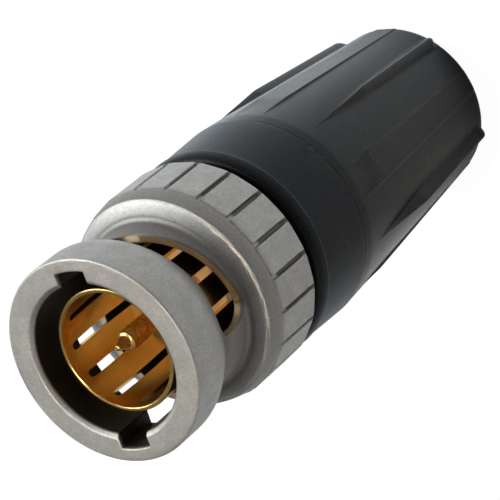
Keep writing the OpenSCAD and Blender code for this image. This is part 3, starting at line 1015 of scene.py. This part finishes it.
class PLUG_OT_insulators(bpy.types.Operator):
    """Builds both insulators and the face gasket"""

    bl_idname = "plug.insulators"
    bl_label = "Insulators and gasket"

    def execute(self, context):
        finishes = context.scene.plug_finishes
        pale = soft_white(finishes.insulator)
        e, face, dip, pin_hole = 0.06 * MM, 9.2 * MM, 9.7 * MM, 0.695 * MM
        front = softened([
            (NOSE_BORE_R, face, e),
            (NOSE_BORE_R, NOSE_END),
            (pin_hole, NOSE_END),
            (pin_hole, face, e),
            (1.025 * MM, face, e),
            (1.025 * MM, dip, e),
            (2.3 * MM, dip, e),
            (2.3 * MM, face, e),
        ], 3)
        rear = ring_outline(TUBE_BORE_R, 1.07 * MM, NOSE_END, TUBE_END)
        gasket = ring_outline(4.82 * MM, 4.1 * MM, 9.65 * MM, SEAT, 0.12 * MM)
        for name, outline, material, slot, node in (
            ("front_insulator_disc", front, pale, "insulator", "front_insulator"),
            ("rear_insulator_tube", rear, pale, "insulator", "rear_insulator"),
            ("face_gasket_ring", gasket, dull_rubber(finishes.gasket), "gasket", "face_gasket"),
        ):
            new_piece(name, turned(outline, even_angles(120)), material, CORE, node)
        return {"FINISHED"}


def body_outline(s):
    tooth, pitch = 0.12 * MM, 0.8 * MM
    teeth = []
    for k in range(int((s.stem_depth - s.barrel_depth - 2 * MM) / pitch)):
        at = s.barrel_depth + 0.8 * MM + k * pitch
        teeth += [(s.stem_r - tooth, at), (s.stem_r, at + 0.7 * pitch, 0.03 * MM)]
    return softened([
        (NOSE_BORE_R, s.nose_front, 0.05 * MM),
        (s.nose_r, s.nose_front, 0.05 * MM),
        (s.nose_r, SEAT),
        (s.flange_r, SEAT, 0.06 * MM),
        (s.flange_r, FLANGE_BACK, 0.06 * MM),
        (s.barrel_r, FLANGE_BACK),
        (s.barrel_r, s.barrel_depth, 0.12 * MM),
        (s.stem_r, s.barrel_depth, 0.05 * MM),
        *teeth,
        (s.stem_r, s.stem_depth - 0.3 * MM, 0.05 * MM),
        (s.stem_r - 0.3 * MM, s.stem_depth, 0.05 * MM),
        (s.stem_bore, s.stem_depth, 0.05 * MM),
        (s.stem_bore, TUBE_END),
        (TUBE_BORE_R, TUBE_END),
        (TUBE_BORE_R, NOSE_END),
        (NOSE_BORE_R, NOSE_END),
    ], 3)


class PLUG_OT_body(bpy.types.Operator):
    """Builds the contact body with its crimp stem, and the ferrule"""

    bl_idname = "plug.body"
    bl_label = "Body and ferrule"

    def execute(self, context):
        s = context.scene.plug_body
        plate = machined_metal("body_plate", context.scene.plug_finishes.steel, 0.22)
        skin = turned(body_outline(s), even_angles(128))
        new_piece("contact_body_turned", skin, plate, CORE, "contact_body")
        outline = ring_outline(
            s.ferrule_r, s.ferrule_r - s.ferrule_wall, s.barrel_depth, s.ferrule_depth, 0.08 * MM
        )
        skin = turned(outline, even_angles(128))
        new_piece("crimp_ferrule_tube", skin, plate, CORE, "crimp_ferrule")
        return {"FINISHED"}


class PLUG_OT_spring_pack(bpy.types.Operator):
    """Builds the wave spring between its two washers"""

    bl_idname = "plug.spring_pack"
    bl_label = "Spring pack"

    def execute(self, context):
        steel = machined_metal("spring_steel", context.scene.plug_finishes.steel, 0.28)
        front, back, edge = SPRING_FRONT, SPRING_BACK, 0.04 * MM
        thrust = ring_outline(5.6 * MM, 4.15 * MM, FLANGE_BACK, front, edge)
        backing = ring_outline(5.73 * MM, 4.2 * MM, back, PACK_END, edge)
        for name, outline, body, node in (
            ("thrust_washer_ring", thrust, THRUST, "thrust_washer"),
            ("backing_washer_ring", backing, SHELL, "backing_washer"),
        ):
            skin = turned(outline, even_angles(120))
            new_piece(name, skin, steel, body, node)
        strip, clear = 0.25 * MM, 0.02 * MM
        swing = back - front - strip - 2 * clear
        outline = ring_outline(5.6 * MM, 4.25 * MM, back - clear - strip, back - clear, 0.03 * MM)

        def wave(r, depth, angle):
            return r, depth - swing * (1 + cos(3 * angle)) / 2, angle

        skin = turned(outline, even_angles(180), wave)
        spring = new_piece("wave_spring_ring", skin, steel, SHELL, "wave_spring")
        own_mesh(spring)
        return {"FINISHED"}


# ---- collar and boot ----


def collar_outline(s):
    z0, z1 = 13.35 * MM, COLLAR_REAR
    crest_r, crest = s.collar_front_r + 0.08 * MM, z0 + 0.9 * MM
    tail = z1 + 5.4 * MM
    snap = tail - 2 * MM
    tail_bore, body_bore, step = 4.9 * MM, 4.15 * MM, 16.0 * MM
    front = []
    for a in quarter_turn(13):
        front.append((crest_r - 0.46 * MM * (1 - sin(a)), mixed(crest, z0, cos(a))))
    return softened([
        (CHAMBER_R, SPRING_FRONT, 0.04 * MM),
        (SPIGOT_R, SPRING_FRONT, 0.04 * MM),
        (SPIGOT_R, z0),
        *front[:-1],
        (crest_r, crest, 0.05 * MM),
        (s.collar_front_r, crest + 0.1 * MM, 0.04 * MM),
        (s.collar_rear_r, z1, 0.1 * MM),
        (JOINT_R, z1),
        (JOINT_R, snap),
        (SNAP_R, snap, 0.03 * MM),
        (JOINT_R, snap + 0.8 * MM),
        (JOINT_R, tail, 0.05 * MM),
        (tail_bore, tail, 0.05 * MM),
        (tail_bore, step),
        (body_bore, step),
        (body_bore, PACK_END),
        (CHAMBER_R, PACK_END),
    ], 6)


class PLUG_OT_collar(bpy.types.Operator):
    """Builds the collar that the nut and the boot are fixed to"""

    bl_idname = "plug.collar"
    bl_label = "Collar"

    def execute(self, context):
        s = context.scene.plug_boot
        black = grained_black("collar_black", context.scene.plug_finishes.collar, 8, 0.016, 0.26)
        skin = turned(divided(collar_outline(s), 0.5 * MM), even_angles(220))
        new_piece("boot_collar_moulded", skin, black, SHELL, "boot_collar")
        return {"FINISHED"}


def cone_radius(s, depth):
    end = FACE - s.boot_round
    t = min(1.0, max(0.0, (depth - CONE_START) / (end - CONE_START)))
    return mixed(s.boot_front_r, s.boot_rear_r, t)


def rib_section(s, depth):
    """(radius of the crest, half width) of a rib at a depth, or None off its ends."""
    tip, end = CONE_START + 1.2 * MM, FACE - s.boot_round
    knee, rear = tip + 6 * MM, end - 0.75 * MM
    if depth <= tip or depth >= end:
        return None
    if depth <= knee:
        t = (depth - tip) / (knee - tip)
        crest = mixed(cone_radius(s, tip) - 0.02 * MM, s.rib_knee_r, t)
        return crest, mixed(0.05 * MM, 0.75 * s.rib_w, t**1.5)
    if depth <= rear:
        t = (depth - knee) / (rear - knee)
        wide = mixed(0.75, 1, sin(pi / 2 * t))
        return mixed(s.rib_knee_r, s.rib_rear_r, t), s.rib_w * wide
    fall = sqrt(1 - ((depth - rear) / (end - rear)) ** 2)
    crest = mixed(cone_radius(s, end) - 0.15 * MM, s.rib_rear_r, fall)
    return crest, s.rib_w * mixed(0.6, 1, fall)


def rib_radius(s, depth, off):
    """Radius of a rib's rounded crest and flanks at an angle off its middle."""
    section = rib_section(s, depth)
    if not section:
        return 0
    crest, wide = section
    root = cone_radius(s, depth) - 0.35 * MM
    soft, r = 0.25, crest
    for _ in range(5):
        across = r * sin(off) / wide
        if abs(across) >= 1:
            return 0
        fall = (hypot(across, soft) - soft) / (hypot(1, soft) - soft)
        r = mixed(crest, root, fall) / cos(off)
    return r


def pad_plane(s, depth):
    """(distance from the axis, half width) of a pad's flat top at a depth."""
    front, back = CONE_START + 0.4 * MM, FACE - s.boot_round - 0.1 * MM
    knee = front + 2.6 * MM
    half = mixed(s.pad_front_w, s.pad_rear_w, (depth - front) / (back - front)) / 2
    high = cone_radius(s, knee) + s.pad_h
    if depth < knee:
        low = cone_radius(s, front) - 0.08 * MM
        return mixed(low, high, (depth - front) / (knee - front)), half
    return mixed(high, cone_radius(s, back), min(1, (depth - knee) / (back - knee))), half


def boot_shape(s):
    """How ribs and flat pads change the boot's radius."""
    half_pitch = pi / s.ribs
    ease = 0.03 * MM
    end = FACE - s.boot_round

    def shape(r, depth, angle):
        skin = cone_radius(s, depth) - (0.3 * MM if depth < end else s.boot_round + 0.01 * MM)
        if depth < CONE_START or r < skin:
            return r, depth, angle
        turns, off = divmod(angle - s.pad_turn + half_pitch, 2 * half_pitch)
        side = copysign(1, off - half_pitch)
        off = abs(off - half_pitch)
        flat, half = pad_plane(s, depth)
        edge = atan(half / flat)
        if off < PAD_EDGE:
            off *= edge / PAD_EDGE
        else:
            off = mixed(edge, half_pitch, (off - PAD_EDGE) / (half_pitch - PAD_EDGE))
        around = s.pad_turn + turns * 2 * half_pitch + side * off
        share = smooth((half - flat * tan(off)) / (2 * ease) + 0.5)
        share *= smooth((FACE - 0.15 * MM - depth) / (0.4 * MM))
        r += share * max(0, flat / cos(off) - cone_radius(s, depth))
        rib = rib_radius(s, depth, half_pitch - off)
        if rib > r - 0.1 * MM:
            r = soft_max(r, rib, 0.1 * MM)
        return r, depth, around

    return shape


def boot_outline(s):
    z1 = COLLAR_REAR
    end = FACE - s.boot_round
    snap = z1 + 3.4 * MM
    back = FACE - s.cable_len
    outside = [(s.boot_front_r, z1, 0.12 * MM), (s.boot_front_r, CONE_START)]
    outside += [(s.boot_rear_r, end)]
    for k in range(1, 9):
        a = pi / 2 * k / 8
        r = s.boot_rear_r - s.boot_round * (1 - cos(a))
        outside.append((r, end + s.boot_round * sin(a)))
    outside.append((s.cable_r, FACE, 0.15 * MM))
    line = divided(softened(outside, 4), 0.16 * MM, closed=False)
    hollow_r, hollow_front = 4.6 * MM, z1 + 5.5 * MM
    inside = softened([
        (s.cable_r, back, 0.3 * MM),
        (hollow_r, back - 0.9 * MM, 0.3 * MM),
        (hollow_r, hollow_front, 0.05 * MM),
        (JOINT_R, hollow_front),
        (JOINT_R, snap + 0.8 * MM),
        (SNAP_R, snap, 0.03 * MM),
        (JOINT_R, snap),
        (JOINT_R, z1),
    ], 4)
    return line + inside


class PLUG_OT_boot(bpy.types.Operator):
    """Builds the ribbed boot that turns the lock"""

    bl_idname = "plug.boot"
    bl_label = "Boot"

    def execute(self, context):
        s = context.scene.plug_boot
        black = grained_black("boot_black", context.scene.plug_finishes.boot, 6, 0.012, 0.2)
        offsets = [PAD_EDGE * x for x in (0, 0.35, 0.7, 0.9)]
        beside_edge = (-0.3, -0.18, -0.06, 0.06, 0.18, 0.3, 2, 4.5, 7.5, 11, 14, 17)
        offsets += [PAD_EDGE + radians(d) for d in beside_edge]
        offsets += [radians(36 - d) for d in np.arange(0, 9.6, 0.4)]
        angles = repeated_angles(s.ribs, s.pad_turn, offsets)
        skin = turned(boot_outline(s), angles, boot_shape(s))
        new_piece("boot_moulded", skin, black, SHELL, "boot")
        return {"FINISHED"}


# ---- studio ----


def aimed(azimuth, elevation):
    return Vector((
        cos(elevation) * cos(azimuth),
        cos(elevation) * sin(azimuth),
        sin(elevation),
    ))


def facing(back, roll=0.0):
    """Rotation of a camera or lamp that looks against back, turned by roll."""
    level = Vector((0, 0, 1)) - back * back.z
    level.normalize()
    across = level.cross(back)
    up = level * cos(roll) + across * sin(roll)
    right = up.cross(back)
    return Matrix((right, up, back)).transposed().to_4x4()


LAMP_DISTANCE = 0.4
FLOOR_DEPTH = 0.02 * MM


def add_camera(studio):
    data = bpy.data.cameras.new("studio_camera")
    data.sensor_width = 36
    data.lens = studio.lens
    data.clip_start, data.clip_end = 10 * MM, 10
    camera = added("studio_camera", data)
    back = aimed(studio.azimuth, studio.elevation)
    place = Matrix.Translation(Vector(studio.aim) + back * studio.distance)
    camera.matrix_world = place @ facing(back, studio.roll)
    bpy.context.scene.camera = camera


def add_light(name, kind, place, rotation, power, colour):
    """A lamp at place, in metres, with its data for the settings of its kind."""
    data = bpy.data.lights.new(name, kind)
    data.energy, data.color = power, colour
    added(name, data).matrix_world = Matrix.Translation(place) @ rotation
    return data


def add_lamp(name, azimuth, elevation, width, height, power, colour=(1, 1, 1)):
    """A soft rectangle that looks at the plug's middle."""
    back = aimed(radians(azimuth), radians(elevation))
    place = Vector((0, 0, 20 * MM)) + back * LAMP_DISTANCE
    data = add_light(name, "AREA", place, facing(back), power, colour)
    data.shape = "RECTANGLE"
    data.size, data.size_y = width, height


def add_spot(name, place, target, spread, power, colour=(1, 1, 1)):
    """A narrow lamp at place, in millimetres, that looks at target."""
    place, target = Vector(place) * MM, Vector(target) * MM
    turn_to = Vector((0, 0, 1)).rotation_difference((place - target).normalized())
    data = add_light(name, "SPOT", place, turn_to.to_matrix().to_4x4(), power, colour)
    data.spot_size, data.spot_blend = radians(spread), 0.4
    data.shadow_soft_size = 20 * MM


def add_world(strength):
    """Faint cool light all round, which the camera sees as white."""
    p = Paint("studio_world", "worlds")
    lit = p.node("ShaderNodeBackground", {"Color": (0.9, 0.95, 1.0), "Strength": strength})
    seen = p.node("ShaderNodeBackground", {"Color": (1, 1, 1)})
    to_camera = p.node("ShaderNodeLightPath", output="Is Camera Ray")
    both = p.node("ShaderNodeMixShader", {0: to_camera, 1: lit, 2: seen})
    p.node("ShaderNodeOutputWorld", {"Surface": both})
    bpy.context.scene.world = p.material


def floor_mesh():
    """A disc just under the plug, with its faces small near the middle."""
    rings, around, reach = 12, 64, 1.5
    points, faces = [(0, 0, -FLOOR_DEPTH)], []
    for k in range(1, rings + 1):
        r = reach * (k / rings) ** 2
        points += [(r * cos(a), r * sin(a), -FLOOR_DEPTH) for a in even_angles(around)]
    for i in range(around):
        j = (i + 1) % around
        faces.append((0, 1 + i, 1 + j))
        for k in range(rings - 1):
            a, b = 1 + k * around, 1 + (k + 1) * around
            faces.append((a + i, b + i, b + j, a + j))
    mesh = bpy.data.meshes.new("studio_floor")
    mesh.from_pydata(points, [], faces)
    return mesh


class PLUG_OT_stage(bpy.types.Operator):
    """Sets the camera, the soft lights, the world and the pale floor"""

    bl_idname = "plug.stage"
    bl_label = "Stage"

    def execute(self, context):
        scene = context.scene
        studio = scene.plug_studio
        scene.view_settings.view_transform = "Standard"
        add_camera(studio)
        add_world(studio.world_light)
        add_lamp("broad_light", 140, 38, 0.28, 0.28, 1.3, (0.88, 0.95, 1.0))
        add_lamp("side_light", -50, 25, 0.1, 0.25, 0.1)
        add_spot("bore_light", (0, 0, 300), (0, 0, 0), 1.9, 26.0, (1.0, 0.93, 0.8))
        add_spot("floor_glow", (-120, 130, 260), (-15, 13, 0), 5, 8.0, (0.72, 0.87, 1.0))
        mesh = floor_mesh()
        mesh.materials.append(studio_floor(scene.plug_finishes.floor))
        floor = added("studio_floor", mesh)
        return {"FINISHED"}


# ---- panel and start ----

PIECES = (
    PLUG_OT_coupling_nut,
    PLUG_OT_contacts,
    PLUG_OT_insulators,
    PLUG_OT_body,
    PLUG_OT_spring_pack,
    PLUG_OT_collar,
    PLUG_OT_boot,
    PLUG_OT_stage,
)

SETTINGS = {
    "plug_nut": NutSizes,
    "plug_contacts": ContactSizes,
    "plug_body": BodySizes,
    "plug_boot": BootSizes,
    "plug_finishes": Finishes,
    "plug_studio": StudioSettings,
}


class PLUG_PT_pieces(bpy.types.Panel):
    """Lists the plug's pieces in the sidebar"""

    bl_idname = "PLUG_PT_pieces"
    bl_label = "Bayonet cable plug"
    bl_space_type = "VIEW_3D"
    bl_region_type = "UI"
    bl_category = "Plug"

    def draw(self, context):
        for piece in PIECES:
            self.layout.operator(piece.bl_idname)


def register():
    for group in SETTINGS.values():
        bpy.utils.register_class(group)
    for name, group in SETTINGS.items():
        setattr(bpy.types.Scene, name, PointerProperty(type=group))
    for piece in (*PIECES, PLUG_PT_pieces):
        bpy.utils.register_class(piece)


def unregister():
    for piece in reversed((*PIECES, PLUG_PT_pieces)):
        bpy.utils.unregister_class(piece)
    for name, group in SETTINGS.items():
        delattr(bpy.types.Scene, name)
        bpy.utils.unregister_class(group)


def main():
    register()
    for piece in PIECES:
        getattr(bpy.ops.plug, piece.bl_idname.split(".")[1])()


if __name__ == "__main__":
    main()
